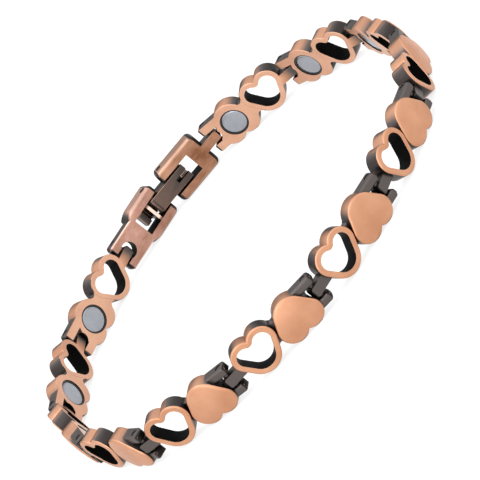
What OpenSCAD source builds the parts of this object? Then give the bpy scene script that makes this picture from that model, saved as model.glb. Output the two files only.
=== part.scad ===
/* [Heart outline] */
// Radius of each of a heart's two round lobes
lobe_r = 1.95; // [1.75:0.05:2.1]
// Sideways distance from a heart's middle line to the middle of a lobe
lobe_x = 1.36; // [1.2:0.02:1.5]
// Height of the lobes' middles from the band's middle line
lobe_z = 0.98; // [0.8:0.02:1.2]
// Radius of the blunt point of a heart
tip_r = 2.52; // [2.3:0.02:2.6]
// Height of the point's middle from the band's middle line, the other way
tip_z = 0.25; // [0.1:0.05:0.4]

/* [Link] */
// Width of the rim of an open heart
ring_w = 0.75; // [0.55:0.05:0.9]
// Thickness of an open heart
ring_t = 2.15; // [1.8:0.05:2.3]
// Thickness of a solid heart at its edge
solid_edge_t = 2.0; // [1.8:0.05:2.2]
// Height of the dome of a solid heart above its edge
dome_h = 0.35; // [0.2:0.05:0.5]
// Groove between the slanted sides of a link's two hearts
heart_gap = 0.12; // [0.1:0.02:0.3]
// Half the height of the web that joins the two hearts
web_half = 1.7; // [1.2:0.1:2]
// Thickness of the web
web_t = 1.1; // [0.8:0.1:1.5]

/* [Hinge] */
// Distance from the lug's pin to the side of the open heart
lug_reach = 1.57; // [1.4:0.01:2]
// Distance from the side of the solid heart to the pin between its ears
ear_reach = 0.55; // [0.5:0.05:1]
// Radius of the round end of a lug, which is half its thickness
knuckle_r = 0.8; // [0.7:0.05:0.9]
// Half the width of a lug
lug_half = 0.7; // [0.6:0.02:0.8]
// Gap between a lug and each ear
side_gap = 0.35; // [0.2:0.05:0.4]
// Width of each ear
ear_w = 1.2; // [1:0.05:1.3]
// Distance from the pin to the end of an ear
ear_tip = 0.95; // [0.8:0.05:1.1]
// Rounding of the end of an ear, seen from the side
ear_round = 0.5; // [0.3:0.05:0.6]
// Gap between a round lug end and the floor of the slot
floor_gap = 0.25; // [0.15:0.05:0.4]
// Radius of a hinge pin
pin_r = 0.4; // [0.3:0.05:0.45]
// Clearance round a pin in its bores
pin_clear = 0.03; // [0.02:0.01:0.06]
// How far a pin's end lies below the face of its ear
pin_sink = 0.05; // [0.02:0.01:0.1]

/* [Magnet] */
// Radius of a magnet
magnet_r = 1.75; // [1.5:0.05:1.85]
// Width of the glue groove round a magnet
groove_w = 0.2; // [0.1:0.05:0.25]
// Thickness of a magnet
magnet_t = 1.2; // [0.8:0.1:1.4]
// Height of a magnet's middle below the band's middle line
magnet_drop = 0.18; // [0.1:0.02:0.26]

/* [Clasp brackets] */
// Thickness of both brackets
bracket_t = 2.35; // [2.3:0.05:2.6]
// Half the height of both brackets
bracket_half = 2.85; // [2.7:0.01:2.93]
// Half the height of the brackets' windows
window_half = 1.5; // [1.4:0.02:1.7]
// Rounding of the brackets' ends, seen from the side
bracket_round = 0.65; // [0.3:0.05:0.8]
// Rounding of the brackets' corners, seen from inside the band
corner_round = 0.8; // [0.5:0.05:0.9]
// Distance from a clasp pin to the open end of its bracket
arm_tip = 1.15; // [1:0.05:1.3]
// Distance from the tongue bracket's link pin to its clasp pin
tongue_len = 8.15; // [7.5:0.05:9]
// Distance from that link pin to the body of the tongue bracket
tongue_neck = 1.92; // [1.8:0.02:2.1]
// Length of the solid part of the tongue bracket before its window
tongue_bridge = 2.44; // [2:0.02:2.8]
// Distance from the fork bracket's clasp pin to its link pin
fork_len = 8.2; // [7.8:0.05:9]
// Distance from the fork bracket's link pin to its window
fork_bridge = 4.1; // [3.9:0.05:4.3]
// Distance from the same pin to the step where the fork bracket thins
fork_step = 3.2; // [2.9:0.05:3.6]
// Length of the shoulders over which the fork bracket narrows before that step
shoulder_len = 1.1; // [0.8:0.05:1.4]
// Rounding of those shoulders
shoulder_round = 0.8; // [0.4:0.1:1.2]
// Distance from the same pin to the ends of the fork bracket's ears
fork_tip = 1.3; // [1:0.05:1.4]
// How much wider than the slot between those ears its round floor is, on each side
floor_swell = 0.12; // [0:0.02:0.2]
// Distance from the fork bracket's clasp pin to the middle of its fixed bar
bar_x = 1.5; // [1.4:0.01:1.6]
// Thickness of the fixed bar along the band
bar_w = 0.5; // [0.4:0.05:0.6]
// Depth of the fixed bar
bar_t = 1.7; // [1.6:0.05:1.75]

/* [Clasp leaves] */
// Distance between the two clasp pins along the leaves
leaf_len = 3.63; // [3.4:0.01:4.2]
// Depth of the hook leaf's pin below the inner face
hook_depth = 1.35; // [1.3:0.05:1.5]
// Half the width of the cover leaf
cover_half = 1.16; // [1:0.02:1.25]
// Thickness of the cover leaf
cover_t = 0.55; // [0.4:0.05:0.6]
// Distance from the hook leaf's pin to the cover leaf's free end
cover_free = 2.35; // [2:0.05:2.6]
// Half the width of the slot in the cover leaf
slot_half = 0.31; // [0.3:0.01:0.4]
// Distance from the hook leaf's pin to the closed end of that slot
slot_end = 0.3; // [0.1:0.05:0.5]
// Gap between the two leaves
leaf_gap = 0.15; // [0.1:0.01:0.2]
// Half the width of the hook leaf
hook_half = 1.1; // [1:0.02:1.2]
// Half the width of the hook at the leaf's end
lip_half = 0.95; // [0.85:0.01:1]
// Thickness of the hook leaf's plate
plate_t = 0.5; // [0.4:0.05:0.55]
// Distance that the hook stands back from the fixed bar
hook_play = 0.45; // [0.2:0.05:0.5]
// Length of the hook along the band
lip_len = 0.9; // [0.7:0.1:1.1]
// How far the hook's inner face lies above the fixed bar's outer face
hook_catch = 0.4; // [0.3:0.05:0.5]
// Length of the stud that stands in the slot
stud_len = 1.05; // [0.8:0.05:1.15]
// Gap between the stud and the sides of the slot, and its distance from the end of its leaf
stud_gap = 0.1; // [0.05:0.01:0.15]
// Depth of the stud's top below the inner face
stud_sink = 0.15; // [0.1:0.05:0.2]

/* [Lie of the band] */
// Inward turn at the hook leaf's pin, in degrees
tongue_turn = 1.4; // [0:0.1:3]
// Inward turn at the cover leaf's pin, in degrees
fork_turn = 17.7; // [12:0.1:20]

/* [Hidden] */
$fn = 48;
ARC_STEP = 10;

// Inward turn at each hinge between two links, from the fork bracket's end, as the band lies
TURNS = [29, 29, 23, 37, 20, 29, 22.5, 30, 27.5, 28.5, 26];
LINKS = len(TURNS) + 1;

COPPER = "#D9A07A";
GUNMETAL = "#5D534E";
NICKEL = "#A5A6AA";

// Points and outlines
function dir(a) = [cos(a), sin(a)];
function unit(v) = v / norm(v);
function arc(c, r, from, to) =
    let (steps = max(2, ceil(abs(to - from) / ARC_STEP)))
    [for (k = [0:steps]) c + r * dir(from + (to - from) * k / steps)];
function angle_of(v) = atan2(v.y, v.x);

// The corner q between p and n, rounded by r
function rounded_corner(p, q, n, r) =
    r == 0 ? [q] :
    let (a = unit(p - q), b = unit(n - q))
    let (half = acos(a * b) / 2)
    let (c = q + unit(a + b) * r / sin(half))
    let (from = angle_of(q + a * r / tan(half) - c))
    let (turn = (a.x * b.y - a.y * b.x > 0 ? -1 : 1) * (180 - 2 * half))
    arc(c, r, from, from + turn);
// A closed outline from rows of [x, y, rounding]
function outline(rows) =
    let (n = len(rows))
    [for (i = [0:n - 1])
        let (q = rows[i], p = rows[(i + n - 1) % n], f = rows[(i + 1) % n])
        each rounded_corner([p.x, p.y], [q.x, q.y], [f.x, f.y], q[2])];
// Both halves of an outline whose rows for the upper half run from left to right
function mirrored(rows) =
    concat(rows, [for (i = [len(rows) - 1:-1:0]) [rows[i].x, -rows[i].y, rows[i][2]]]);

// A heart is two lobes and a blunt point, with straight sides that touch both
heart_half = lobe_x + lobe_r;
heart_rise = [lobe_x, lobe_z + tip_z];
side_angle = angle_of(heart_rise) - acos((tip_r - lobe_r) / norm(heart_rise));
notch = [0, lobe_z + sqrt(lobe_r * lobe_r - lobe_x * lobe_x)];
notch_angle = angle_of(notch - [lobe_x, lobe_z]);
function heart(inset) = concat(
    arc([lobe_x, lobe_z], lobe_r - inset, side_angle, notch_angle),
    inset == 0 ? [] : arc(notch, inset, notch_angle - 180, -notch_angle),
    arc([-lobe_x, lobe_z], lobe_r - inset, 180 - notch_angle, 180 - side_angle),
    arc([0, -tip_z], tip_r - inset, 180 - side_angle, 360 + side_angle));

// Places along a link, from its lug's pin
side_n = dir(side_angle);
open_x = lug_reach + heart_half;
heart_step = (2 * (tip_r - tip_z * side_n.y) + heart_gap) / side_n.x;
solid_x = open_x + heart_step;
pitch = solid_x + heart_half + ear_reach;
slot_w = lug_half + side_gap;
ear_out = slot_w + ear_w;
hinge_t = 2 * knuckle_r;
solid_t = solid_edge_t + dome_h;
dome_r = (heart_half * heart_half + dome_h * dome_h) / (2 * dome_h);
pocket_r = magnet_r + groove_w;
band_half = lobe_z + lobe_r;
bore_r = pin_r + pin_clear;
tip_clear_r = knuckle_r + floor_gap;

// How far past its pin an arm's outer face is flat
arm_flat = arm_tip - bracket_round;

// The clasp's leaves, from the hook leaf's pin: what the fork bracket carries is turned with it
block_in = cover_t + leaf_gap;
plate_out = bracket_t;
plate_in = plate_out - plate_t;
lip_x = bar_x + bar_w / 2 + hook_play;
stud_x = -cover_free + leaf_gap + stud_gap + stud_len / 2;
function in_fork(x, w) = [leaf_len, knuckle_r]
    + x * dir(-fork_turn) + (w - knuckle_r) * dir(90 - fork_turn);

// The way round the band: each piece lies at a pin, under a heading
function outward(h) = [sin(h), -cos(h)];
function sum_to(list, n) = n == 0 ? 0 : list[n - 1] + sum_to(list, n - 1);
function heading(k, i) = k * sum_to(TURNS, i);
function reach(k, n) = n == 0 ? [0, 0] : reach(k, n - 1) + pitch * dir(heading(k, n - 1));
// The clasp from link pin to link pin, for a tongue bracket at heading 0
hook_at = tongue_len * dir(0) + (hook_depth - knuckle_r) * outward(0);
cover_at = hook_at + leaf_len * dir(tongue_turn) - (hook_depth - knuckle_r) * outward(tongue_turn);
fork_at = cover_at + fork_len * dir(tongue_turn + fork_turn);
// The share of the turns at which the row of links ends just one clasp from its start
function closing(lo, hi, n) =
    let (mid = (lo + hi) / 2)
    n == 0 ? mid :
    norm(reach(mid, LINKS)) > norm(fork_at) ? closing(mid, hi, n - 1) : closing(lo, mid, n - 1);
turn_share = closing(0.8, 1.15, 30);
row_end = reach(turn_share, LINKS);
first_heading = -angle_of(row_end);
tongue_heading = 180 - angle_of(fork_at);
function turned(p, a) = [p.x * cos(a) - p.y * sin(a), p.x * sin(a) + p.y * cos(a)];
function link_heading(i) = first_heading + heading(turn_share, i);
function pin_at(i) = turned(reach(turn_share, i), first_heading);
function clasp_at(p) = pin_at(LINKS) + turned(p, tongue_heading);

// The middle of the whole band's box, from the outer corners of its pieces
function corner(p, h, u, w) = p + u * dir(h) + (w - knuckle_r) * outward(h);
link_corners = [for (i = [0:LINKS - 1], s = [-1:0.25:1])
    each [
        corner(pin_at(i), link_heading(i), solid_x + s * heart_half,
               solid_t - dome_r + sqrt(dome_r * dome_r - pow(s * heart_half, 2))),
        corner(pin_at(i), link_heading(i), open_x + s * heart_half, ring_t)]];
clasp_corners = [
    corner(pin_at(LINKS), tongue_heading, tongue_neck, bracket_t),
    corner(pin_at(LINKS), tongue_heading, tongue_len + arm_flat, bracket_t),
    corner(pin_at(0), tongue_heading + tongue_turn + fork_turn, -fork_len - arm_flat, bracket_t)];
all_corners = concat(link_corners, clasp_corners);
xs = [for (c = all_corners) c.x];
ys = [for (c = all_corners) c.y];
middle = [(min(xs) + max(xs)) / 2, (min(ys) + max(ys)) / 2];

// A piece is drawn lying on its inner face: x along the band, y up the band, z outward.
// This stands it up at a pin that lies at the given depth below that face.
module stand(p, h, depth) {
    translate([p.x - middle.x, p.y - middle.y, band_half])
    rotate([0, 0, h])
    translate([0, depth, 0])
    rotate([90, 0, 0])
    children();
}

// An outline of x and z, extruded across the band from y = from to y = to
module across(from, to) {
    translate([0, to, 0])
    rotate([90, 0, 0])
    linear_extrude(to - from)
    children();
}

// A round bar along y at x and depth z
module round_bar(x, z, r, half) {
    translate([x, half, z])
    rotate([90, 0, 0])
    cylinder(r = r, h = 2 * half);
}

// The side of a lug: round about its pin at x = 0, straight to x = length
module lug_side(length) {
    polygon(concat(arc([0, knuckle_r], knuckle_r, 270, 90), [[length, hinge_t], [length, 0]]));
}

module ears() {
    for (y = [slot_w, -ear_out])
        across(y, y + ear_w)
        polygon(outline([
            [solid_x, 0, 0],
            [solid_x, hinge_t, 0],
            [pitch + ear_tip, hinge_t, ear_round],
            [pitch + ear_tip, 0, ear_round]]));
}

module solid_heart() {
    intersection() {
        translate([solid_x, 0, 0])
        linear_extrude(solid_t + 1)
        mirror([0, 1, 0])
        polygon(heart(0));
        translate([solid_x, 0, solid_t - dome_r])
        rotate([90, 0, 0])
        sphere(r = dome_r, $fn = 160);
    }
}

module link(i) {
    color(COPPER)
    stand(pin_at(i - 1), link_heading(i - 1), knuckle_r)
    difference() {
        union() {
            translate([open_x, 0, 0])
            linear_extrude(ring_t)
            polygon(heart(0));
            solid_heart();
            translate([open_x, -web_half, 0])
            cube([heart_step, 2 * web_half, web_t]);
            across(-lug_half, lug_half)
            lug_side(open_x);
            ears();
        }
        translate([open_x, 0, -1])
        linear_extrude(ring_t + 2)
        polygon(heart(ring_w));
        translate([solid_x, -magnet_drop, -1])
        cylinder(r = pocket_r, h = magnet_t + 1);
        round_bar(0, knuckle_r, bore_r, lug_half + 1);
        round_bar(pitch, knuckle_r, bore_r, ear_out + 1);
        round_bar(pitch, knuckle_r, tip_clear_r, slot_w);
    }
}

module magnet(i) {
    color(NICKEL)
    stand(pin_at(i - 1), link_heading(i - 1), knuckle_r)
    translate([solid_x, -magnet_drop, 0])
    cylinder(r = magnet_r, h = magnet_t);
}

module hinge_pin(i) {
    color(GUNMETAL)
    stand(pin_at(i - 1), link_heading(min(i, LINKS) - 1), knuckle_r)
    round_bar(0, knuckle_r, pin_r, ear_out - pin_sink);
}

// Seen from inside the band: a tongue, a body and two arms round a window
module tongue_bracket() {
    window_x = tongue_neck + tongue_bridge;
    open_x = tongue_len + arm_tip;
    color(COPPER)
    stand(pin_at(LINKS), tongue_heading, knuckle_r)
    difference() {
        union() {
            intersection() {
                across(-bracket_half, bracket_half)
                polygon(outline([
                    [tongue_neck, 0, 0],
                    [tongue_neck, bracket_t, bracket_round],
                    [open_x, bracket_t, bracket_round],
                    [open_x, 0, bracket_round]]));
                linear_extrude(bracket_t)
                polygon(outline(mirrored([
                    [tongue_neck, bracket_half, corner_round],
                    [open_x, bracket_half, corner_round],
                    [open_x, window_half, 0],
                    [window_x, window_half, 0]])));
            }
            intersection() {
                across(-lug_half, lug_half)
                lug_side(tongue_neck + tongue_bridge / 2);
                linear_extrude(hinge_t)
                polygon(concat(arc([lug_half - knuckle_r, 0], lug_half, 270, 90),
                    [[window_x, lug_half], [window_x, -lug_half]]));
            }
        }
        round_bar(0, knuckle_r, bore_r, lug_half + 1);
        round_bar(tongue_len, hook_depth, bore_r, bracket_half + 1);
    }
}

// The other bracket: ears over the first link's lug, a body with shoulders, two arms and a fixed bar
module fork_bracket() {
    open_x = -fork_len - arm_tip;
    floor_x = floor_swell - ear_reach;
    color(COPPER)
    stand(pin_at(0), tongue_heading + tongue_turn + fork_turn, knuckle_r)
    difference() {
        union() {
            intersection() {
                across(-bracket_half, bracket_half)
                polygon(outline([
                    [open_x, 0, bracket_round],
                    [open_x, bracket_t, bracket_round],
                    [-fork_step, bracket_t, bracket_round],
                    [-fork_step, hinge_t, 0],
                    [fork_tip, hinge_t, ear_round],
                    [fork_tip, 0, ear_round]]));
                linear_extrude(bracket_t)
                difference() {
                    polygon(outline(mirrored([
                        [open_x, window_half, 0],
                        [open_x, bracket_half, corner_round],
                        [-fork_step - shoulder_len, bracket_half, shoulder_round],
                        [-fork_step, ear_out, shoulder_round],
                        [fork_tip, ear_out, 0],
                        [fork_tip, slot_w, 0]])));
                    translate([open_x - 1, -window_half])
                    square([-fork_bridge - open_x + 1, 2 * window_half]);
                    translate([floor_x, 0])
                    circle(r = slot_w + floor_swell);
                    translate([floor_x, -slot_w])
                    square([fork_tip - floor_x + 1, 2 * slot_w]);
                }
            }
            translate([-fork_len + bar_x - bar_w / 2, -window_half - 0.5, 0])
            cube([bar_w, 2 * window_half + 1, bar_t]);
        }
        round_bar(0, knuckle_r, bore_r, ear_out + 1);
        round_bar(-fork_len, knuckle_r, bore_r, bracket_half + 1);
    }
}

// The outer leaf: a block on the tongue bracket's pin, a plate past the other pin, a hook
// behind the fixed bar, and a stud for the cover's slot
module hook_leaf() {
    cover_edge = leaf_len - knuckle_r - leaf_gap;
    color(GUNMETAL)
    stand(clasp_at(hook_at), tongue_heading + tongue_turn, hook_depth)
    difference() {
        union() {
            across(-hook_half, hook_half)
            polygon([
                [-cover_free + leaf_gap, block_in],
                [cover_edge, block_in],
                [cover_edge, plate_in],
                in_fork(0, plate_in),
                in_fork(lip_x - hook_play, plate_in),
                in_fork(lip_x - hook_play, plate_out),
                in_fork(0, plate_out),
                [0, plate_out - pin_sink],
                [-cover_free + leaf_gap, hook_depth]]);
            across(-lip_half, lip_half)
            polygon([
                in_fork(0, plate_in),
                in_fork(lip_x, plate_in),
                in_fork(lip_x, bar_t - hook_catch),
                in_fork(lip_x + lip_len, bar_t - hook_catch),
                in_fork(lip_x + lip_len, plate_out),
                in_fork(0, plate_out)]);
            translate([stud_x, 0, stud_sink])
            linear_extrude(hook_depth - stud_sink)
            square([stud_len, 2 * (slot_half - stud_gap)], center = true);
        }
        round_bar(0, hook_depth, bore_r, hook_half + 1);
    }
}

// The inner leaf, which swings inward on the fork bracket's pin
module cover_leaf() {
    foot = 180 + asin((knuckle_r - cover_t) / knuckle_r);
    color(GUNMETAL)
    stand(clasp_at(hook_at), tongue_heading + tongue_turn, hook_depth)
    difference() {
        across(-cover_half, cover_half)
        polygon(concat(
            arc([leaf_len, knuckle_r], knuckle_r, -90, foot),
            [[-cover_free, cover_t], [-cover_free, 0]]));
        translate([-cover_free - 1, -slot_half, -1])
        cube([cover_free + 1 - slot_end, 2 * slot_half, cover_t + 2]);
        round_bar(leaf_len, knuckle_r, bore_r, cover_half + 1);
    }
}

module hook_pin() {
    color(GUNMETAL)
    stand(clasp_at(hook_at), tongue_heading, hook_depth)
    round_bar(0, hook_depth, pin_r, bracket_half - pin_sink);
}

module cover_pin() {
    color(GUNMETAL)
    stand(clasp_at(cover_at), tongue_heading + tongue_turn, knuckle_r)
    round_bar(0, knuckle_r, pin_r, bracket_half - pin_sink);
}

for (i = [1:LINKS]) {
    link(i);
    magnet(i);
}
for (i = [1:LINKS + 1])
    hinge_pin(i);
tongue_bracket();
fork_bracket();
hook_leaf();
cover_leaf();
hook_pin();
cover_pin();
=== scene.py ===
import math

import bmesh
import bpy
from mathutils import Matrix, Vector


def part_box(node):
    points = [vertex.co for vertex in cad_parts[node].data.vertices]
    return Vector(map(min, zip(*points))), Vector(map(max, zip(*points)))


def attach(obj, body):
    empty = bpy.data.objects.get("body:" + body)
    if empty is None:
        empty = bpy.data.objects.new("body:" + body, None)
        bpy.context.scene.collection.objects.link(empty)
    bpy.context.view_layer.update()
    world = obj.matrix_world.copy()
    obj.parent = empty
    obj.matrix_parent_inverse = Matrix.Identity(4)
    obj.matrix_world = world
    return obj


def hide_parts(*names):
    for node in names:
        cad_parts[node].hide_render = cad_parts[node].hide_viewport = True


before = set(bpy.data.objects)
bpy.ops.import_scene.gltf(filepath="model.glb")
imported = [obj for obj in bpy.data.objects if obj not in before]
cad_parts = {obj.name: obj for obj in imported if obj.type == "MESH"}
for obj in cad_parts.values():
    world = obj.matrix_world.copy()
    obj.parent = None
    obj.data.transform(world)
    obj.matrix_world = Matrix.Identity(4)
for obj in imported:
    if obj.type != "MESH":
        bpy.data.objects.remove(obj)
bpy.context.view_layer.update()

# The photograph's camera stands a long way off, a little under a quarter of a right angle above
# the table, and leans far to its left, so that the band lies across the picture on a slant.
mm = 0.001
aim = Vector((0.25, -0.05, 2.3)) * mm
distance = 525 * mm
azimuth, elevation, roll = math.radians(-5.458), math.radians(20.857), math.radians(-51.074)
turned = Matrix.Rotation(azimuth, 4, "Z") @ Matrix.Rotation(math.pi / 2 - elevation, 4, "X")
lens = bpy.data.cameras.new("studio_camera")
lens.lens = 311.76
lens.sensor_width = 36
lens.clip_start = 0.01
camera = bpy.data.objects.new("studio_camera", lens)
camera.matrix_world = (Matrix.Translation(aim) @ turned
                       @ Matrix.Translation((0, 0, distance)) @ Matrix.Rotation(roll, 4, "Z"))
bpy.context.scene.collection.objects.link(camera)
bpy.context.scene.camera = camera
bpy.context.scene.view_settings.view_transform = "Standard"

# The band is twelve cast links: an open heart and a solid heart joined low down by a web, with a
# round-ended lug and two square ears. The casting is copper plated where the hearts' faces and the
# inside of the band show. Dark gunmetal plate is left on the lugs and ears and in the hollows.

# Sizes are in millimetres, of a piece that lies on its inner face, x along the band, z outward.
lobe_r, lobe_x, lobe_y = 1.95, 1.36, 0.98
tip_r, tip_y = 2.52, 0.25
ring_w, ring_t, ring_crest, ring_rim, ring_foot, rim_reach = 0.75, 2.15, 0.42, 0.18, 0.08, 2.75
solid_t, dome_h, dome_rim, dome_cell = 2.35, 0.35, 0.32, 0.45
heart_gap, web_t, web_fillet, web_grip, web_rim = 0.12, 1.1, 0.5, 0.12, 0.2
lug_reach, lug_half, lug_corner, lug_round, lug_rim, knuckle_r = 1.57, 0.7, 0.5, 0.35, 0.22, 0.8
ear_reach, ear_w, ear_tip, ear_round, ear_corner, ear_rim = 0.55, 1.2, 0.95, 0.5, 0.5, 0.28
side_gap, floor_gap, recess_x, recess_t, recess_in = 0.35, 0.25, 0.25, 1, 0.01
pin_r, pin_clear = 0.4, 0.03
magnet_r, magnet_t, magnet_drop, groove_w = 1.75, 1.2, 0.18, 0.2
edge_w, face_edge_w = 0.09, 0.14
# Pieces that run into each other are lifted by these few microns, so that no two faces coincide.
web_lift, lug_lift, heart_lift = 0.006, 0.004, 0.002
# A shape that cuts another stands this far past it.
past = 1
arc_step = 6
# How each face is plated. Worn edges also carry a painted highlight.
copper_side, dark_side, hollow_side, worn_and_highlit_edge, highlit_bar_side = range(5)
links = sum(name.startswith("link_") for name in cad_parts)

heart_half = lobe_x + lobe_r
side_angle = math.degrees(math.atan2(lobe_y + tip_y, lobe_x)
                          - math.acos((tip_r - lobe_r) / math.hypot(lobe_x, lobe_y + tip_y)))
notch_y = lobe_y + math.sqrt(lobe_r ** 2 - lobe_x ** 2)
notch_angle = math.degrees(math.atan2(notch_y - lobe_y, -lobe_x))
side = math.radians(side_angle)
open_x = lug_reach + heart_half
heart_step = (2 * (tip_r - tip_y * math.sin(side)) + heart_gap) / math.cos(side)
solid_x = open_x + heart_step
pitch = solid_x + heart_half + ear_reach
hinge_t = 2 * knuckle_r
slot_w = lug_half + side_gap
ear_out = slot_w + ear_w
bore_r = pin_r + pin_clear


def polar(centre, r, degrees):
    """The point on a circle at that angle."""
    return Vector((centre[0] + r * math.cos(math.radians(degrees)),
                   centre[1] + r * math.sin(math.radians(degrees)), 0))


def arc_on(bm, last, centre, degrees):
    """Carries an outline on from its last point, round a centre."""
    spun = bmesh.ops.spin(bm, geom=[last], cent=(*centre, 0), axis=(0, 0, 1),
                          angle=math.radians(degrees), steps=max(2, round(abs(degrees) / arc_step)))
    return next(g for g in spun["geom_last"] if isinstance(g, bmesh.types.BMVert))


def line_on(bm, last, to):
    """Carries an outline on from its last point, straight to another."""
    end = bmesh.ops.extrude_vert_indiv(bm, verts=[last])["verts"][0]
    end.co = to
    return end


def add_heart(bm, inset):
    """Draws a heart's outline, that far inside the outer one: one half spun, and mirrored."""
    there = set(bm.verts) | set(bm.edges)
    end = bm.verts.new((0, notch_y - inset, 0))
    if inset:
        end = arc_on(bm, end, (0, notch_y), notch_angle - 90)
    end = arc_on(bm, end, (lobe_x, lobe_y), side_angle - notch_angle)
    end = line_on(bm, end, polar((0, -tip_y), tip_r - inset, side_angle))
    arc_on(bm, end, (0, -tip_y), -90 - side_angle)
    half = [g for g in [*bm.verts, *bm.edges] if g not in there]
    bmesh.ops.mirror(bm, geom=half, matrix=Matrix.Identity(4), merge_dist=0.001, axis="X")


def raise_up(bm, height):
    """Fills a flat outline and makes a block of it."""
    bmesh.ops.triangle_fill(bm, use_beauty=True, edges=bm.edges[:])
    bmesh.ops.dissolve_limit(bm, angle_limit=0.01, verts=bm.verts[:], edges=bm.edges[:])
    raised = bmesh.ops.extrude_face_region(bm, geom=bm.faces[:])["geom"]
    bmesh.ops.translate(bm, verts=[g for g in raised if isinstance(g, bmesh.types.BMVert)],
                        vec=(0, 0, height))
    bmesh.ops.recalc_face_normals(bm, faces=bm.faces[:])
    return bm


def soften(bm, edges, width, segments=2, side=None):
    """Rounds edges off, and marks their plating if need be, such as worn edges with a painted highlight.
    A short edge among them holds the rounding of all of them to less than the width asked for."""
    made = bmesh.ops.bevel(bm, geom=edges, affect="EDGES", offset=width, offset_type="OFFSET",
                           segments=segments, profile=0.5, material=-1, clamp_overlap=True)
    for f in made["faces"] if side else []:
        f.material_index = side
    return bm


def sharp_edges(bm, degrees=40):
    """The edges where two faces turn by more than that."""
    return [e for e in bm.edges if e.calc_face_angle(0) > math.radians(degrees)]


def top_edges(bm):
    """The sharp edges more than a millimetre above the face that a shape lies on."""
    return [e for e in sharp_edges(bm) if all(v.co.z > 1 for v in e.verts)]


def foot_edges(bm):
    """The sharp edges round the face that a shape lies on."""
    return [e for e in sharp_edges(bm, 60) if all(v.co.z < 0.01 for v in e.verts)]


def outlined(rows, segments=8):
    """A flat outline from rows of x, y and the rounding of that corner."""
    bm = bmesh.new()
    corners = [bm.verts.new((x, y, 0)) for x, y, _ in rows]
    bm.faces.new(corners)
    for r in sorted({row[2] for row in rows} - {0}):
        rounded = [v for v, row in zip(corners, rows) if row[2] == r]
        bmesh.ops.bevel(bm, geom=rounded, affect="VERTICES", offset=r, offset_type="OFFSET",
                        segments=segments, profile=0.5, material=-1, clamp_overlap=True)
    bmesh.ops.delete(bm, geom=bm.faces[:], context="FACES_ONLY")
    return bm


def across(bm, start, end):
    """Turns an outline of x and depth into a block across the band, from y = start to y = end."""
    raise_up(bm, end - start)
    bmesh.ops.transform(bm, verts=bm.verts[:],
                        matrix=Matrix.Translation((0, end, 0)) @ Matrix.Rotation(math.pi / 2, 4, "X"))
    return bm


def round_bar(r, half, at=(0, 0, 0), upright=False, segments=48):
    """A round bar across the band, or standing on end."""
    bm = bmesh.new()
    turn = Matrix.Identity(4) if upright else Matrix.Rotation(math.pi / 2, 4, "X")
    bmesh.ops.create_cone(bm, cap_ends=True, segments=segments, radius1=r, radius2=r,
                          depth=2 * half, matrix=Matrix.Translation(at) @ turn)
    return bm


def in_order(bm):
    """The same shape with its points and faces in a fixed order. The solver's own order varies
    from run to run, and whatever is done to the shape next would vary with it."""
    points = sorted(bm.verts, key=lambda v: v.co[:])
    place = {v: i for i, v in enumerate(points)}
    rows = []
    for f in bm.faces:
        row = [place[v] for v in f.verts]
        first = row.index(min(row))
        rows.append((row[first:] + row[:first], f.material_index))
    ordered = bmesh.new()
    verts = [ordered.verts.new(v.co) for v in points]
    for row, side in sorted(rows):
        ordered.faces.new([verts[i] for i in row]).material_index = side
    bm.free()
    ordered.normal_update()
    return ordered


def combined(shape, other, operation):
    """The union, difference or intersection of two closed shapes."""
    pair = []
    for bm in (shape, other):
        mesh = bpy.data.meshes.new("shape")
        bm.to_mesh(mesh)
        bm.free()
        pair.append(bpy.data.objects.new("shape", mesh))
        bpy.context.scene.collection.objects.link(pair[-1])
    cut = pair[0].modifiers.new("cut", "BOOLEAN")
    cut.object = pair[1]
    cut.operation = operation
    cut.solver = "EXACT"
    result = bmesh.new()
    result.from_object(pair[0], bpy.context.evaluated_depsgraph_get())
    for o in pair:
        bpy.data.objects.remove(o)
    result = in_order(result)
    bmesh.ops.remove_doubles(result, verts=result.verts[:], dist=0.0005)
    return in_order(result)


def painted(bm, side, lift=0):
    """Marks a shape's plating, and lifts it a few microns off the next one's face."""
    for f in bm.faces:
        f.material_index = side
    bmesh.ops.translate(bm, verts=bm.verts[:], vec=(0, 0, lift))
    return bm


def cut_both_ways(sides, plan, start, end):
    """A bar from y = start to y = end that has one outline from its side and one from above."""
    bar = across(outlined(sides), start - past, end + past)
    above = raise_up(outlined(plan), hinge_t + 2 * past)
    return combined(bar, painted(above, copper_side, -past), "INTERSECT")


def heart_web():
    """The web between the hearts, hollowed at both ends by a fillet that touches both outlines."""
    lobe, tip = Vector((open_x + lobe_x, lobe_y, 0)), Vector((solid_x, tip_y, 0))
    way = tip - lobe
    from_lobe, from_tip = lobe_r + web_fillet, tip_r + web_fillet
    near = (from_lobe ** 2 - from_tip ** 2 + way.length_squared) / (2 * way.length)
    rise = math.sqrt(from_lobe ** 2 - near ** 2)
    end = lobe + (near * way + rise * Vector((-way.y, way.x, 0))) / way.length
    to_lobe, to_tip = [(c - end).normalized() * (web_fillet + web_grip) for c in (lobe, tip)]
    far_end = Vector((open_x + solid_x, 0, 0)) - end
    bm = outlined([(*(end + to_lobe).xy, 0), (*(end + to_tip).xy, 0),
                   (*(far_end - to_lobe).xy, 0), (*(far_end - to_tip).xy, 0)])
    raise_up(bm, web_t)
    for at in (end, far_end):
        bm = combined(bm, round_bar(web_fillet, web_t + past, at, True, 32), "DIFFERENCE")
    return soften(bm, top_edges(bm), web_rim, 4)


def rim_edges(bm, z):
    """Where the wall of the open heart's hole meets a face at that height."""
    rim = []
    for e in sharp_edges(bm, 60):
        x, y, _ = (e.verts[0].co + e.verts[1].co) / 2
        if (all(abs(v.co.z - z) < 0.001 for v in e.verts)
                and e.link_faces[0].material_index != e.link_faces[1].material_index
                and math.hypot(x - open_x, y) < rim_reach):
            rim.append(e)
    return rim


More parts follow.
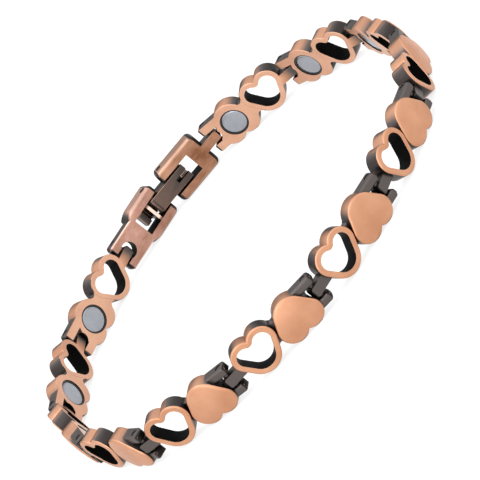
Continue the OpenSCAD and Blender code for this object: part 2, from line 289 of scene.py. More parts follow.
def open_heart():
    """An open heart with its lug and web: the ring's crest falls away to the outside."""
    bm = bmesh.new()
    add_heart(bm, 0)
    raise_up(bm, ring_t)
    soften(bm, top_edges(bm), ring_crest, 6)
    soften(bm, foot_edges(bm), face_edge_w, 3)
    bmesh.ops.translate(bm, verts=bm.verts[:], vec=(open_x, 0, 0))
    bm = combined(bm, painted(heart_web(), dark_side, web_lift), "UNION")
    bm = combined(bm, lug(open_x, lug_corner), "UNION")
    hole = bmesh.new()
    add_heart(hole, ring_w)
    raise_up(hole, ring_t + 2 * past)
    bmesh.ops.translate(hole, verts=hole.verts[:], vec=(open_x, 0, -past))
    bm = combined(bm, painted(hole, hollow_side), "DIFFERENCE")
    # The rim of the hole is marked for wear and a painted highlight.
    soften(bm, rim_edges(bm, ring_t), ring_rim, 3, worn_and_highlit_edge)
    return soften(bm, rim_edges(bm, 0), ring_foot, 2, worn_and_highlit_edge)


def solid_heart():
    """A solid heart, upside down beside the open one: a low dome with a soft rim."""
    bm = bmesh.new()
    add_heart(bm, 0)
    bmesh.ops.scale(bm, verts=bm.verts[:], vec=(1, -1, 1))
    raise_up(bm, solid_t)
    soften(bm, top_edges(bm), dome_rim, 6)
    soften(bm, foot_edges(bm), face_edge_w, 3)
    # The flat top is cut into small squares, so that it can be crowned.
    cuts = int(heart_half / dome_cell)
    for axis in ((1, 0, 0), (0, 1, 0)):
        for k in range(-cuts, cuts + 1):
            top = [f for f in bm.faces if f.normal.z > 0.999 and f.calc_center_median().z > 2]
            parts = dict.fromkeys(g for f in top for g in [f, *f.edges, *f.verts])
            bmesh.ops.bisect_plane(bm, geom=list(parts), dist=1e-4, plane_no=axis,
                                   plane_co=[k * dome_cell * a for a in axis])
    dome_r = (heart_half ** 2 + dome_h ** 2) / (2 * dome_h)
    for v in bm.verts:
        if v.co.z > 1:
            v.co.z -= v.co.xy.length_squared / (2 * dome_r)
    bmesh.ops.translate(bm, verts=bm.verts[:], vec=(solid_x, 0, 0))
    return painted(bm, copper_side, heart_lift)


def lug(length, corner):
    """A bar that ends round its pin, with its corners taken off, and its edges worn and given a painted
    highlight.
    """
    bm = cut_both_ways([(-knuckle_r, 0, lug_round), (-knuckle_r, hinge_t, lug_round),
                        (length, hinge_t, 0), (length, 0, 0)],
                       [(-knuckle_r, lug_half, corner), (length + past, lug_half, 0),
                        (length + past, -lug_half, 0), (-knuckle_r, -lug_half, corner)],
                       -lug_half, lug_half)
    painted(bm, dark_side, lug_lift)
    soften(bm, top_edges(bm), lug_rim, 5)
    return soften(bm, sharp_edges(bm), edge_w, 2, worn_and_highlit_edge)


def ear(start):
    """A square ear, rounded at its end both ways."""
    tip, end = pitch + ear_tip, start + ear_w
    bm = cut_both_ways([(solid_x, 0, 0), (solid_x, hinge_t, 0),
                        (tip, hinge_t, ear_round), (tip, 0, ear_round)],
                       [(solid_x - past, start, 0), (tip, start, ear_corner),
                        (tip, end, ear_corner), (solid_x - past, end, 0)], start, end)
    soften(painted(bm, dark_side), top_edges(bm), ear_rim, 5)
    return soften(bm, sharp_edges(bm), edge_w, 2, worn_and_highlit_edge)


def band_link():
    """Both hearts with their lug and ears, cut for the next lug, the magnet and the pins."""
    bm = combined(open_heart(), solid_heart(), "UNION")
    for start in (slot_w, -ear_out):
        bm = combined(bm, ear(start), "UNION")
    floor = round_bar(knuckle_r + floor_gap, slot_w, (pitch, 0, knuckle_r))
    bm = combined(bm, painted(floor, hollow_side), "DIFFERENCE")
    recess = round_bar(slot_w - recess_in, recess_t, (pitch - recess_x, 0, 0), True)
    bm = combined(bm, painted(recess, hollow_side), "DIFFERENCE")
    pocket = round_bar(magnet_r + groove_w, magnet_t, (solid_x, -magnet_drop, 0), True)
    bm = combined(bm, painted(pocket, hollow_side), "DIFFERENCE")
    for x in (0, pitch):
        bore = round_bar(bore_r, ear_out + past, (x, 0, knuckle_r))
        bm = combined(bm, painted(bore, hollow_side), "DIFFERENCE")
    return bm


def plated(bm, share):
    """Writes how much copper each corner has into the mesh, for the plating's material to read:
    -1 is black, 0 gunmetal, 1 copper, and 2 bright copper where an edge is worn. The shares also
    carry painted highlights and painted shade."""
    copper = bm.loops.layers.float.new("copper")
    for f in bm.faces:
        for corner in f.loops:
            corner[copper] = share(f, corner.vert.co)
        f.material_index = 0
    return bm


def fade(x, start, end):
    """Rises softly from 0 at the start to 1 at the end."""
    t = min(1, max(0, (x - start) / (end - start)))
    return t * t * (3 - 2 * t)


rim_highlight, lug_edge_wear_and_highlight, ear_edge_copper, inner_copper = 2.3, 1.3, 0.3, 1.15
end_black, wall_copper, wall_shade_fall = -0.8, 0.75, 1.4


def link_copper(f, at):
    """Copper is brightest on the rim of the open heart's hole, a painted highlight that grows as the rim
    turns down, and a little paler on the inside of the band than outside. The hearts' walls have it at
    the top and the tip, and lose it towards their neighbours, where shade is painted in. Lugs and ears
    are gunmetal, with black ends and worn edges; the lugs' edges also carry a painted highlight."""
    on_lug = at.x < lug_reach
    on_ring = not on_lug and at.x < solid_x
    if f.material_index == hollow_side:
        return -1
    # Painted highlight: the hole's rim is brighter the more its rounding turns down into the hole.
    if f.material_index == worn_and_highlit_edge and on_ring and f.normal.z > 0:
        return rim_highlight - 2 * f.normal.z
    # The lugs' edges are worn and have a painted highlight; the ears' are only worn.
    if f.material_index == worn_and_highlit_edge:
        return lug_edge_wear_and_highlight if on_lug else ear_edge_copper
    if f.normal.z < -0.6 and f.normal.x < 0.2:
        return fade(at.x, -0.6, lug_reach + 0.3) * 1.3 - 0.3 if on_lug else inner_copper
    if f.material_index == dark_side:
        return end_black * fade(abs(f.normal.x), 0.3, 0.8)
    if f.normal.z > 0.2:
        return 1
    # Painted shade: the walls darken towards the next heart and the ears.
    middle_x = open_x if at.x < (open_x + solid_x) / 2 else solid_x
    return wall_copper - wall_shade_fall * fade(abs(at.x - middle_x) / heart_half, 0.25, 0.85)


def colour(hex_value):
    """An sRGB hex colour as the linear one that a shader takes."""
    parts = [int(hex_value[i:i + 2], 16) / 255 for i in (1, 3, 5)]
    return (*[p / 12.92 if p <= 0.04045 else ((p + 0.055) / 1.055) ** 2.4 for p in parts], 1)


def add(tree, kind, settings, sockets):
    """Adds a node with its settings, and links or sets its sockets."""
    made = tree.nodes.new(kind)
    for name, value in settings.items():
        setattr(made, name, value)
    for socket, value in sockets.items():
        if isinstance(value, bpy.types.NodeSocket):
            tree.links.new(value, made.inputs[socket])
        else:
            made.inputs[socket].default_value = value
    return made


def new_finish(name):
    """An empty material and its node tree."""
    finish = bpy.data.materials.new(name)
    finish.use_nodes = True
    finish.node_tree.nodes.clear()
    return finish, finish.node_tree


# The plating's colours where it is worn bright and a highlight is painted on, where it is black, and
# where polish can't reach and painted shade lies, and the sizes of its cloudy tone and of the
# corners that the patina and painted shade darken.
highlight_and_wear_hex, black_hex, corner_patina_and_shade_hex, oxide_hex = "#FFE3D2", "#141211", "#0B0909", "#0F0E0D"
cloud_mm, corner_patina_and_shade_mm, scratch_mm = 3.5, 0.55, 0.02


# Antique copper plate: the metal is copper plated, blackened and polished back, beside a gunmetal
# plate that is left dark. It has a soft sheen and is faintly uneven in tone. It is bright where edges
# are worn, with a painted highlight on them, and black where polish can't reach, with painted shade
# in the corners. grain_mm is the size of the marks that polishing or brushing leaves, grain_turn
# their direction, and grain_depth how strongly they show.
def plating(name, copper_hex, dull_hex, dark_hex, grain_mm, grain_turn, grain_depth, roughness):
    finish, tree = new_finish(name)
    place = add(tree, "ShaderNodeTexCoord", {}, {}).outputs["Object"]
    share = add(tree, "ShaderNodeAttribute", {"attribute_name": "copper"}, {}).outputs["Fac"]

    # The copper's own tone, from clouds and grain.
    cloud = add(tree, "ShaderNodeTexNoise", {}, {
        "Vector": place, "Scale": 1 / (cloud_mm * mm), "Detail": 3})
    turn = add(tree, "ShaderNodeMapping", {}, {
        "Vector": place, "Rotation": (0, 0, -grain_turn),
        "Scale": [1 / (g * mm) for g in grain_mm]})
    grain = add(tree, "ShaderNodeTexNoise", {}, {"Vector": turn.outputs[0], "Scale": 1, "Detail": 3})
    mixed = add(tree, "ShaderNodeMath", {"operation": "MULTIPLY_ADD"}, {
        0: grain.outputs["Fac"], 1: grain_depth, 2: cloud.outputs["Fac"]})
    level = add(tree, "ShaderNodeMapRange", {}, {
        "Value": mixed.outputs[0],
        "From Min": 0.25 + grain_depth / 2, "From Max": 0.75 + grain_depth / 2})
    tone = add(tree, "ShaderNodeMix", {"data_type": "RGBA"}, {
        0: level.outputs[0], 6: colour(dull_hex), 7: colour(copper_hex)})

    # From black through gunmetal and copper to the near-white of worn edges and painted highlights, as
    # the share says.
    coppered = add(tree, "ShaderNodeMix", {"data_type": "RGBA"}, {
        0: share, 6: colour(dark_hex), 7: tone.outputs[2]})
    past_copper = add(tree, "ShaderNodeMath", {"operation": "SUBTRACT"}, {0: share, 1: 1})
    bright = add(tree, "ShaderNodeMix", {"data_type": "RGBA"}, {
        0: past_copper.outputs[0], 6: coppered.outputs[2], 7: colour(highlight_and_wear_hex)})
    below_dark = add(tree, "ShaderNodeMath", {"operation": "MULTIPLY"}, {0: share, 1: -1})
    blackened = add(tree, "ShaderNodeMix", {"data_type": "RGBA"}, {
        0: below_dark.outputs[0], 6: bright.outputs[2], 7: colour(black_hex)})

    # Painted shade: corners are darkened by how closely they are hemmed in, along with the patina left
    # there, unless they are worn. Hollow walls are dull black oxide.
    hollow = add(tree, "ShaderNodeAmbientOcclusion", {"samples": 16}, {"Distance": corner_patina_and_shade_mm * mm})
    open_share = add(tree, "ShaderNodeMapRange", {"interpolation_type": "SMOOTHSTEP"}, {
        "Value": hollow.outputs["AO"], "From Min": 0.15, "From Max": 0.65})
    kept = add(tree, "ShaderNodeMath", {"operation": "MAXIMUM"}, {
        0: open_share.outputs[0], 1: past_copper.outputs[0]})
    sunk = add(tree, "ShaderNodeMix", {"data_type": "RGBA"}, {
        0: kept.outputs[0], 6: colour(corner_patina_and_shade_hex), 7: blackened.outputs[2]})
    oxide = add(tree, "ShaderNodeMapRange", {}, {"Value": share, "From Min": -0.75, "From Max": -0.95})
    finished = add(tree, "ShaderNodeMix", {"data_type": "RGBA"}, {
        0: oxide.outputs[0], 6: sunk.outputs[2], 7: colour(oxide_hex)})

    # The grain varies the sheen and roughens the surface by a hundredth of a millimetre or so.
    sheen = add(tree, "ShaderNodeMapRange", {}, {
        "Value": grain.outputs["Fac"], "From Min": 0.3, "From Max": 0.7,
        "To Min": roughness - 0.04, "To Max": roughness + 0.05})
    rough = add(tree, "ShaderNodeMath", {"operation": "MULTIPLY_ADD"}, {
        0: oxide.outputs[0], 1: 0.3, 2: sheen.outputs[0]})
    relief = add(tree, "ShaderNodeBump", {}, {
        "Strength": grain_depth, "Distance": scratch_mm * mm, "Height": grain.outputs["Fac"]})
    shader = add(tree, "ShaderNodeBsdfPrincipled", {}, {
        "Base Color": finished.outputs[2], "Metallic": 1.0, "Roughness": rough.outputs[0],
        "Normal": relief.outputs[0]})
    add(tree, "ShaderNodeOutputMaterial", {}, {"Surface": shader.outputs[0]})
    return finish


def middle(node):
    """The middle of a node's box."""
    low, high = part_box(node)
    return (low + high) / 2


def stand(pin, heading, depth):
    """The place of a piece drawn in millimetres lying on its inner face, x along the band and z
    outward, stood up at a pin that lies at that depth."""
    return (Matrix.Translation(pin) @ Matrix.Rotation(heading, 4, "Z")
            @ Matrix.Translation((0, depth * mm, 0)) @ Matrix.Rotation(math.pi / 2, 4, "X")
            @ Matrix.Scale(mm, 4))


def set_piece(shape, name, place, finish, node, body):
    """Puts a shape in its place, in the stead of a node if it has one, and on its body."""
    whole = shape.copy()
    whole.transform(place)
    mesh = bpy.data.meshes.new(name)
    whole.to_mesh(mesh)
    whole.free()
    mesh.shade_smooth()
    mesh.set_sharp_from_angle(angle=math.radians(28))
    mesh.materials.append(finish)
    piece = bpy.data.objects.new(name, mesh)
    bpy.context.scene.collection.objects.link(piece)
    piece.modifiers.new("even_shading", "WEIGHTED_NORMAL").keep_sharp = True
    if node:
        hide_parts(node)
    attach(piece, body)


pins = [middle(f"hinge_pin_{i}") for i in range(1, links + 2)]
headings = [math.atan2(b.y - a.y, b.x - a.x) for a, b in zip(pins, pins[1:])]
link_shape = plated(band_link(), link_copper)
# Satin copper plate, tumbled smooth: warm and even, with a faint mottling half a millimetre across.
tumbled_mm, tumbled_depth = (0.5, 0.5, 0.5), 0.03
satin = plating("satin_copper_plate", "#D29D7D", "#BC8565", "#5C5552", tumbled_mm, 0, tumbled_depth, 0.4)
for i in range(links):
    set_piece(link_shape, f"cast_link_{i + 1}", stand(pins[i], headings[i], knuckle_r),
              satin, f"link_{i + 1}", "band")

# A sintered disc magnet, nickel plated, is glued into the back of each solid heart, in a pocket
# that leaves a fine dark groove round it. Its face is faintly crowned and its rim is rounded.
disc_rim, ring_step, rings, face_drop = 0.13, 0.22, 6, 0.15

# Bright nickel plate: a cool grey mirror, slightly blurred, with faint spots that lie closer than
# a millimetre.
spot_mm = 0.6
nickel, tree = new_finish("nickel_plate")
place = add(tree, "ShaderNodeTexCoord", {}, {}).outputs["Object"]
spots = add(tree, "ShaderNodeTexNoise", {}, {"Vector": place, "Scale": 1 / (spot_mm * mm), "Detail": 5})
tone = add(tree, "ShaderNodeMix", {"data_type": "RGBA"}, {
    0: spots.outputs["Fac"], 6: colour("#90939A"), 7: colour("#A2A5AA")})
rough = add(tree, "ShaderNodeMapRange", {}, {"Value": spots.outputs["Fac"], "To Min": 0.2, "To Max": 0.3})
shader = add(tree, "ShaderNodeBsdfPrincipled", {}, {
    "Base Color": tone.outputs[2], "Metallic": 1.0, "Roughness": rough.outputs[0]})
add(tree, "ShaderNodeOutputMaterial", {}, {"Surface": shader.outputs[0]})

disc = round_bar(magnet_r, magnet_t / 2, (0, 0, magnet_t / 2), True, 96)
soften(disc, sharp_edges(disc), disc_rim, 4)
for _ in range(rings):
    face = [f for f in disc.faces if f.calc_center_median().length < 0.01]
    bmesh.ops.inset_region(disc, faces=face, thickness=ring_step)
for v in disc.verts:
    if v.co.z < magnet_t / 2:
        v.co.z += face_drop * v.co.xy.length_squared / magnet_r ** 2
bmesh.ops.translate(disc, verts=disc.verts[:], vec=(solid_x, -magnet_drop, 0))
for i in range(links):
    set_piece(disc, f"disc_magnet_{i + 1}", stand(pins[i], headings[i], knuckle_r),
              nickel, f"magnet_{i + 1}", "band")

# Black epoxy holds each magnet in its pocket. It has risen in the groove round the disc and set
# just below the face, so each magnet has a thin black outline.
glue_lap, glue_top, glue_foot = 0.02, 0.09, 1
glue_inner, glue_outer = magnet_r - glue_lap, magnet_r + groove_w
glue = outlined([(glue_inner, glue_top, 0), (glue_outer, glue_top, 0),
                 (glue_outer, glue_foot, 0), (glue_inner, glue_foot, 0)])
bmesh.ops.rotate(glue, verts=glue.verts[:], matrix=Matrix.Rotation(math.pi / 2, 3, "X"))
bmesh.ops.spin(glue, geom=[*glue.verts, *glue.edges], cent=(0, 0, 0), axis=(0, 0, 1), steps=64,
               angle=2 * math.pi, use_merge=True)
bmesh.ops.recalc_face_normals(glue, faces=glue.faces[:])
bmesh.ops.translate(glue, verts=glue.verts[:], vec=(solid_x, -magnet_drop, 0))

# Set epoxy: nearly black with a low gloss, and clouded by bubbles a fifth of a millimetre across.
bubble_mm = 0.2
epoxy, tree = new_finish("black_epoxy")
place = add(tree, "ShaderNodeTexCoord", {}, {}).outputs["Object"]
bubbles = add(tree, "ShaderNodeTexNoise", {}, {
    "Vector": place, "Scale": 1 / (bubble_mm * mm), "Detail": 2})
tone = add(tree, "ShaderNodeMix", {"data_type": "RGBA"}, {
    0: bubbles.outputs["Fac"], 6: colour("#080707"), 7: colour("#191717")})
shader = add(tree, "ShaderNodeBsdfPrincipled", {}, {"Base Color": tone.outputs[2], "Roughness": 0.35})
add(tree, "ShaderNodeOutputMaterial", {}, {"Surface": shader.outputs[0]})
for i in range(links):
    set_piece(glue, f"glue_ring_{i + 1}", stand(pins[i], headings[i], knuckle_r),
              epoxy, None, "band")

# A plain pin, cut from steel wire, holds each lug between its ears. It is pressed through them,
# and its ends, with their edges broken, lie just below the ears' faces.
pin_sink, pin_edge = 0.05, 0.06

# Steel wire darkened with the plating: dull dark grey, with nicks about 0.15 mm across.
nick_mm = 0.15
steel, tree = new_finish("steel_wire")
place = add(tree, "ShaderNodeTexCoord", {}, {}).outputs["Object"]
marks = add(tree, "ShaderNodeTexNoise", {}, {"Vector": place, "Scale": 1 / (nick_mm * mm), "Detail": 3})
tone = add(tree, "ShaderNodeMix", {"data_type": "RGBA"}, {
    0: marks.outputs["Fac"], 6: colour("#3A3533"), 7: colour("#6A625E")})
shader = add(tree, "ShaderNodeBsdfPrincipled", {}, {
    "Base Color": tone.outputs[2], "Metallic": 1.0, "Roughness": 0.35})
add(tree, "ShaderNodeOutputMaterial", {}, {"Surface": shader.outputs[0]})


def pin_shape(half):
    """A round pin with its ends' edges broken."""
    bm = round_bar(pin_r, half, upright=True)
    return soften(bm, sharp_edges(bm), pin_edge)


link_pin = pin_shape(ear_out - pin_sink)
for i, pin in enumerate(pins):
    set_piece(link_pin, f"link_pin_{i + 1}", Matrix.Translation(pin) @ Matrix.Scale(mm, 4),
              steel, f"hinge_pin_{i + 1}", "band")

# The clasp's two brackets are cut from copper-plated bar and brushed along the band. The first has
# a tongue for the last link's ears, a solid body, and two arms round a window.
bracket_t, bracket_half, window_half, bracket_round, corner_round = 2.35, 2.85, 1.5, 0.65, 0.8
arm_tip, tongue_len, tongue_neck, tongue_bridge, hook_depth = 1.15, 8.15, 1.92, 2.44, 1.35
inner_round, outer_round = 0.5, 0.2
# The tongue's end is all but a half round.
tongue_corner = lug_half - 0.02
# The other bracket's bar carries a painted highlight as far as this to both sides of its middle, and
# painted shade from there to the arms.
bar_highlight_half = 1
bar_highlight, bar_shade_fall, edge_wear_and_highlight, tongue_end_black = 1.9, 2.4, 1.4, -0.75
side_painted_sheen, end_fall = 0.15, 1.9


def bracket_copper(f, at):
    """Copper lies all over the flats, a little brighter on the sides where a sheen is painted, and is
    rubbed bright on the rounded edges, with a painted highlight. The bar has a painted highlight that
    turns to painted shade towards the arms. The arms' ends and the tongue's, and the walls between
    the arms, are black."""
    if f.material_index == hollow_side:
        return -1
    if f.material_index == highlit_bar_side:
        # Painted highlight on the bar's face, falling to painted shade on its ends and towards the arms.
        towards_arm = fade(abs(at.y), bar_highlight_half, window_half)
        return bar_highlight - bar_shade_fall * max(fade(abs(f.normal.x), 0.8, 0.95), towards_arm)
    end = fade(abs(f.normal.x), 0.12, 0.4)
    if f.material_index == dark_side and f.normal.z > -0.6:
        return tongue_end_black * end
    # Worn edges, with a painted highlight.
    if f.material_index == worn_and_highlit_edge:
        return edge_wear_and_highlight - end
    # Painted sheen on the sides.
    return 1 + side_painted_sheen * fade(math.hypot(*f.normal.xy), 0.2, 0.5) - end_fall * end


def bracket_block(plan, sides):
    """A block of that plan, rounded all round, whose ends have the profile of its sides."""
    raise_up(plan, bracket_t)
    soften(plan, foot_edges(plan), inner_round, 6)
    soften(plan, top_edges(plan), outer_round, 4)
    across(sides, -bracket_half - past, bracket_half + past)
    return combined(painted(plan, copper_side), painted(sides, copper_side), "INTERSECT")


def through(plan, wall):
    """A cut of that plan, right through a wall of that thickness."""
    return painted(raise_up(plan, wall + 2 * past), hollow_side, -past)


def tongue_bracket():
    """The body with its window, its tongue, and bores for the link's pin and the hook's."""
    window_x = tongue_neck + tongue_bridge
    end_x = tongue_len + arm_tip
    bm = bracket_block(
        outlined([(tongue_neck, bracket_half, corner_round), (end_x, bracket_half, corner_round),
                  (end_x, -bracket_half, corner_round), (tongue_neck, -bracket_half, corner_round)]),
        outlined([(tongue_neck, 0, 0), (tongue_neck, bracket_t, bracket_round),
                  (end_x, bracket_t, bracket_round), (end_x, 0, bracket_round)]))
    window = outlined([(window_x, window_half, 0), (end_x + past, window_half, 0),
                       (end_x + past, -window_half, 0), (window_x, -window_half, 0)])
    bm = combined(bm, through(window, bracket_t), "DIFFERENCE")
    soften(bm, sharp_edges(bm), edge_w, 2, worn_and_highlit_edge)
    bm = combined(bm, lug(tongue_neck + tongue_bridge / 2, tongue_corner), "UNION")
    for x, z in ((0, knuckle_r), (tongue_len, hook_depth)):
        bore = round_bar(bore_r, bracket_half + past, (x, 0, z))
        bm = combined(bm, painted(bore, hollow_side), "DIFFERENCE")
    return plated(bm, bracket_copper)


hook_at, cover_at = middle("hook_pin"), middle("cover_pin")
drop = hook_depth - knuckle_r
along = hook_at - pins[-1]
tongue_heading = math.atan2(along.y, along.x) + math.atan2(drop, tongue_len)
# Brushed copper plate, browner than the cast links: a silky sheen with streaks along the bar. Its
# lines are 6 mm long and drawn 0.15 mm wide, a few times the real ones, so that they show.
brushed_mm, brushed_depth = (6, 0.15, 0.15), 0.45
tongue_copper = plating("brushed_copper_plate", "#B78A70", "#80543B", "#5C5552", brushed_mm,
                        tongue_heading, brushed_depth, 0.37)
set_piece(tongue_bracket(), "brushed_tongue_bracket", stand(pins[-1], tongue_heading, knuckle_r),
          tongue_copper, "tongue_bracket", "band")

# The other bracket has a body with rounded shoulders, a thinner plate that ends in two ears for
# the first link's lug, and a fixed bar across its window for the hook to catch on.
fork_len, fork_bridge, fork_step, fork_tip, fork_rim = 8.2, 4.1, 3.2, 1.3, 0.2
shoulder_len, shoulder_round, floor_swell = 1.1, 0.8, 0.12
bar_x, bar_w, bar_t, bar_round, bar_root, bar_lift = 1.5, 0.5, 1.7, 0.1, 0.5, 0.004


def fork_bracket():
    """The body, the plate with its ears, the window, the slot with its round floor, and the bar."""
    end_x, shoulder_x = -fork_len - arm_tip, -fork_step - shoulder_len
    bm = bracket_block(
        outlined([(end_x, bracket_half, corner_round), (shoulder_x, bracket_half, shoulder_round),
                  (-fork_step, ear_out, 0), (-fork_step, -ear_out, 0),
                  (shoulder_x, -bracket_half, shoulder_round), (end_x, -bracket_half, corner_round)]),
        outlined([(end_x, 0, bracket_round), (end_x, bracket_t, bracket_round),
                  (-fork_step, bracket_t, bracket_round), (-fork_step, 0, 0)]))
    plate = cut_both_ways([(shoulder_x, 0, 0), (shoulder_x, hinge_t, 0),
                           (fork_tip, hinge_t, ear_round), (fork_tip, 0, ear_round)],
                          [(shoulder_x - past, ear_out, 0), (fork_tip, ear_out, ear_corner),
                           (fork_tip, -ear_out, ear_corner), (shoulder_x - past, -ear_out, 0)],
                          -ear_out, ear_out)
    painted(plate, dark_side, lug_lift)
    soften(plate, sharp_edges(plate), fork_rim, 4, worn_and_highlit_edge)
    bm = combined(bm, plate, "UNION")
    window = outlined([(end_x - past, window_half, 0), (-fork_bridge, window_half, 0),
                       (-fork_bridge, -window_half, 0), (end_x - past, -window_half, 0)])
    bm = combined(bm, through(window, bracket_t), "DIFFERENCE")
    floor_x = floor_swell - ear_reach
    slot = outlined([(floor_x, slot_w, 0), (fork_tip + past, slot_w, 0),
                     (fork_tip + past, -slot_w, 0), (floor_x, -slot_w, 0)])
    bm = combined(bm, through(slot, bracket_t), "DIFFERENCE")
    floor = round_bar(slot_w + floor_swell, bracket_t, (floor_x, 0, 0), True)
    bm = combined(bm, painted(floor, hollow_side), "DIFFERENCE")
    soften(bm, sharp_edges(bm, 50), edge_w, 2, worn_and_highlit_edge)
    bar = outlined([(-bar_w / 2, 0, bar_round), (-bar_w / 2, bar_t, bar_round),
                    (bar_w / 2, bar_t, bar_round), (bar_w / 2, 0, bar_round)])
    across(bar, -window_half - bar_root, window_half + bar_root)
    # The bar is cut where its painted highlight gives way to painted shade.
    for y in (-bar_highlight_half, bar_highlight_half):
        bmesh.ops.bisect_plane(bar, geom=[*bar.verts, *bar.edges, *bar.faces], dist=1e-4,
                               plane_co=(0, y, 0), plane_no=(0, 1, 0))
    bmesh.ops.translate(bar, verts=bar.verts[:], vec=(-fork_len + bar_x, 0, 0))
    bm = combined(bm, painted(bar, highlit_bar_side, bar_lift), "UNION")
    for x, half in ((0, ear_out), (-fork_len, bracket_half)):
        bore = round_bar(bore_r, half + past, (x, 0, knuckle_r))
        bm = combined(bm, painted(bore, hollow_side), "DIFFERENCE")
    return plated(bm, bracket_copper)


along = pins[0] - cover_at
fork_heading = math.atan2(along.y, along.x)
# The same brushed plate as the first bracket's, in a lighter and pinker tone.
fork_copper = plating("brushed_copper_plate_light", "#C69988", "#8F6450", "#5C5552", brushed_mm,
                      fork_heading, brushed_depth, 0.37)
set_piece(fork_bracket(), "brushed_fork_bracket", stand(pins[0], fork_heading, knuckle_r),
          fork_copper, "fork_bracket", "band")

# The hook leaf is a small gunmetal lever: a block on the first bracket's pin, a plate that runs
# out past the other pin, and a hook that holds the fixed bar. A stud on it stands in the cover.
leaf_len, cover_t, cover_free, slot_half, leaf_gap = 3.63, 0.55, 2.35, 0.31, 0.15
hook_half, lip_half, plate_t, hook_play, lip_len, hook_catch = 1.1, 0.95, 0.5, 0.45, 0.9, 0.4
lip_in, lip_out, lip_start, leaf_edge = 0.02, 0.01, 0.1, 0.05
stud_len, stud_gap, stud_sink, stud_root, stud_edge = 1.05, 0.1, 0.15, 0.2, 0.08
along = cover_at - hook_at
leaf_heading = math.atan2(along.y, along.x) - math.atan2(drop, leaf_len)
fork_turn = fork_heading - leaf_heading


def in_fork(x, w):
    """A point given along the fork bracket, as the leaves lie."""
    c, s = math.cos(fork_turn), math.sin(fork_turn)
    return leaf_len + x * c + (w - knuckle_r) * s, knuckle_r - x * s + (w - knuckle_r) * c, 0


def hook_leaf():
    """The block and plate, the hook's lip, the stud, and a bore for the hook's pin."""
    lip_x = bar_x + bar_w / 2 + hook_play
    plate_in = bracket_t - plate_t
    block_in = cover_t + leaf_gap
    cover_edge = leaf_len - knuckle_r - leaf_gap
    body = outlined([(-cover_free + leaf_gap, block_in, 0), (cover_edge, block_in, 0),
                     (cover_edge, plate_in, 0), in_fork(0, plate_in),
                     in_fork(lip_x - hook_play, plate_in), in_fork(lip_x - hook_play, bracket_t),
                     in_fork(0, bracket_t), (0, bracket_t - pin_sink, 0),
                     (-cover_free + leaf_gap, hook_depth, 0)])
    painted(across(body, -hook_half, hook_half), dark_side)
    soften(body, sharp_edges(body), leaf_edge, 2, worn_and_highlit_edge)
    lip = outlined([in_fork(0, plate_in + lip_in), in_fork(lip_x, plate_in + lip_in),
                    in_fork(lip_x, bar_t - hook_catch), in_fork(lip_x + lip_len, bar_t - hook_catch),
                    in_fork(lip_x + lip_len, bracket_t - lip_out),
                    in_fork(lip_start, bracket_t - lip_out)])
    painted(across(lip, -lip_half, lip_half), dark_side)
    soften(lip, sharp_edges(lip), leaf_edge, 2, worn_and_highlit_edge)
    bm = combined(body, lip, "UNION")
    stud_x = -cover_free + leaf_gap + stud_gap + stud_len / 2
    stud_foot = hook_depth - stud_root
    stud = bmesh.new()
    bmesh.ops.create_cube(stud, size=1)
    bmesh.ops.scale(stud, verts=stud.verts[:],
                    vec=(stud_len, 2 * (slot_half - stud_gap), stud_foot - stud_sink))
    bmesh.ops.translate(stud, verts=stud.verts[:], vec=(stud_x, 0, (stud_foot + stud_sink) / 2))
    soften(painted(stud, dark_side), sharp_edges(stud), stud_edge, 2, worn_and_highlit_edge)
    bm = combined(bm, stud, "UNION")
    bore = round_bar(bore_r, hook_half + past, (0, 0, hook_depth))
    return plated(combined(bm, painted(bore, hollow_side), "DIFFERENCE"), leaf_copper)


leaf_hollow, leaf_dark, stud_copper, face_copper = -0.9, -0.4, 0.9, 0.2
leaf_edge_copper, leaf_edge_rise = 0.3, 0.7
knuckle_highlight, knuckle_from, knuckle_to = 2, 0.25, 0.5


def leaf_copper(f, at):
    """Gunmetal all over, worn through to copper along the edges and the stud's, and more so on the
    way to the cover's pin, where the knuckle's end is rubbed bright and carries a painted highlight."""
    if f.material_index == hollow_side:
        return leaf_hollow
    towards_pin = fade(at.x, -1, leaf_len)
    if f.material_index == worn_and_highlit_edge:
        in_slot = at.x < 0 and abs(at.y) < slot_half
        return stud_copper if in_slot else leaf_edge_copper + leaf_edge_rise * towards_pin
    # Painted highlight on the knuckle's end.
    if f.normal.z < -0.1 and leaf_len < at.x < leaf_len + knuckle_r + 0.01:
        return knuckle_highlight * fade(at.x, leaf_len + knuckle_from, leaf_len + knuckle_to)
    if f.normal.z < -0.9 and at.z < cover_t:
        return face_copper * towards_pin
    return leaf_dark


# Gunmetal plate, brushed along the leaf: a dark warm grey metal with a tight sheen. Its lines are
# 2.5 mm long and drawn 0.12 mm wide, a few times the real ones, so that they show.
leaf_grain_mm, leaf_grain_depth = (2.5, 0.12, 0.12), 0.45
gunmetal = plating("gunmetal_plate", "#C8A08A", "#A07860", "#4B4340", leaf_grain_mm, leaf_heading,
                   leaf_grain_depth, 0.34)
leaf_place = stand(hook_at, leaf_heading, hook_depth)
set_piece(hook_leaf(), "catch_leaf", leaf_place, gunmetal, "hook_leaf", "band")

# The cover leaf is bent and filed from the same gunmetal-plated strip. It swings on the second
# bracket's pin and lies flush with the inside of the band, with a slot in its free end for the stud.
cover_half, cover_edge_w, cover_lift, slot_end, slot_round = 1.16, 0.06, 0.003, 0.3, 0.12


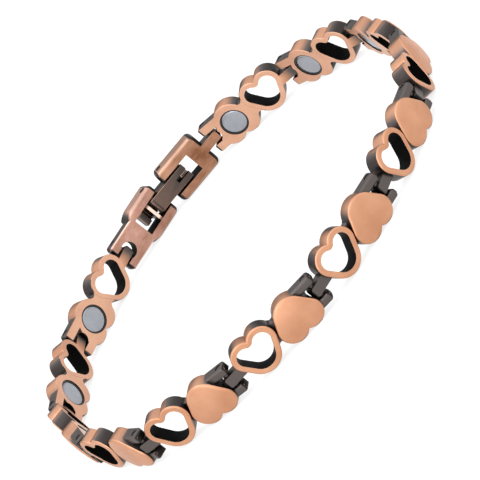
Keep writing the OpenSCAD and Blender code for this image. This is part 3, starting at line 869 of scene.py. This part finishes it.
def cover_leaf():
    """The strip and the knuckle that it turns on, with the stud's slot and a bore for the pin."""
    plate = outlined([(-cover_free, 0, 0), (leaf_len, 0, 0), (leaf_len, cover_t, 0),
                      (-cover_free, cover_t, 0)])
    painted(across(plate, -cover_half, cover_half), dark_side, cover_lift)
    soften(plate, sharp_edges(plate), cover_edge_w, 2, worn_and_highlit_edge)
    knuckle = painted(round_bar(knuckle_r, cover_half, (leaf_len, 0, knuckle_r)), dark_side)
    soften(knuckle, sharp_edges(knuckle), cover_edge_w, 2, worn_and_highlit_edge)
    bm = combined(knuckle, plate, "UNION")
    slot = outlined([(-cover_free - past, slot_half, 0), (-slot_end, slot_half, slot_round),
                     (-slot_end, -slot_half, slot_round), (-cover_free - past, -slot_half, 0)])
    bm = combined(bm, through(slot, cover_t), "DIFFERENCE")
    bore = round_bar(bore_r, cover_half + past, (leaf_len, 0, knuckle_r))
    return plated(combined(bm, painted(bore, hollow_side), "DIFFERENCE"), leaf_copper)


set_piece(cover_leaf(), "swing_cover_leaf", leaf_place, gunmetal, "cover_leaf", "cover_leaf")

# Two longer pins of the same steel wire carry the leaves. They run right through the brackets'
# arms, are pressed in, and end just below the arms' sides.
clasp_pin = pin_shape(bracket_half - pin_sink)
for name, at in (("hook_pin", hook_at), ("cover_pin", cover_at)):
    set_piece(clasp_pin, f"clasp_{name}", Matrix.Translation(at) @ Matrix.Scale(mm, 4),
              steel, name, "band")

# The band lies by itself on a plain pale light table, in a white tent that is lit from the front
# and dim behind it, so that the metal has something dark to mirror. The matt table glows just
# enough to lose the band's shadow.
table_size = 3
pale_glow, tree = new_finish("pale_light_table")
shader = add(tree, "ShaderNodeBsdfPrincipled", {}, {
    "Base Color": colour("#858584"), "Roughness": 0.9, "Emission Color": colour("#FFFFFF"),
    "Emission Strength": 0.78})
add(tree, "ShaderNodeOutputMaterial", {}, {"Surface": shader.outputs[0]})
table = bmesh.new()
bmesh.ops.create_grid(table, x_segments=1, y_segments=1, size=table_size)
mesh = bpy.data.meshes.new("table_top")
table.to_mesh(mesh)
table.free()
mesh.materials.append(pale_glow)
table_top = bpy.data.objects.new("table_top", mesh)
bpy.context.scene.collection.objects.link(table_top)

world = bpy.data.worlds.new("white_tent")
world.use_nodes = True
tree = world.node_tree
way = add(tree, "ShaderNodeTexCoord", {}, {}).outputs["Generated"]
# The tent dims from its full light to a ninth of it, the further a ray runs back and down.
back_and_down = (0.15, 1, -1.4)
behind = add(tree, "ShaderNodeVectorMath", {"operation": "DOT_PRODUCT"}, {0: way, 1: back_and_down})
tent = add(tree, "ShaderNodeMapRange", {"interpolation_type": "SMOOTHSTEP"}, {
    "Value": behind.outputs["Value"], "From Min": 0.6, "From Max": -0.1, "To Min": 0.2, "To Max": 1.8})
tree.nodes["Background"].inputs["Color"].default_value = colour("#F2F4F7")
tree.links.new(tent.outputs[0], tree.nodes["Background"].inputs["Strength"])
bpy.context.scene.world = world


def softbox(name, at, size, power):
    """A square soft light that faces the band."""
    light = bpy.data.lights.new(name, "AREA")
    light.size = size
    light.energy = power
    lamp = bpy.data.objects.new(name, light)
    lamp.location = at
    lamp.rotation_euler = (-Vector(at)).to_track_quat("-Z", "Y").to_euler()
    bpy.context.scene.collection.objects.link(lamp)


softbox("top_light", (-0.1, -0.12, 0.5), 0.3, 0.5)
softbox("side_light", (-0.35, -0.45, 0.12), 0.25, 0.5)
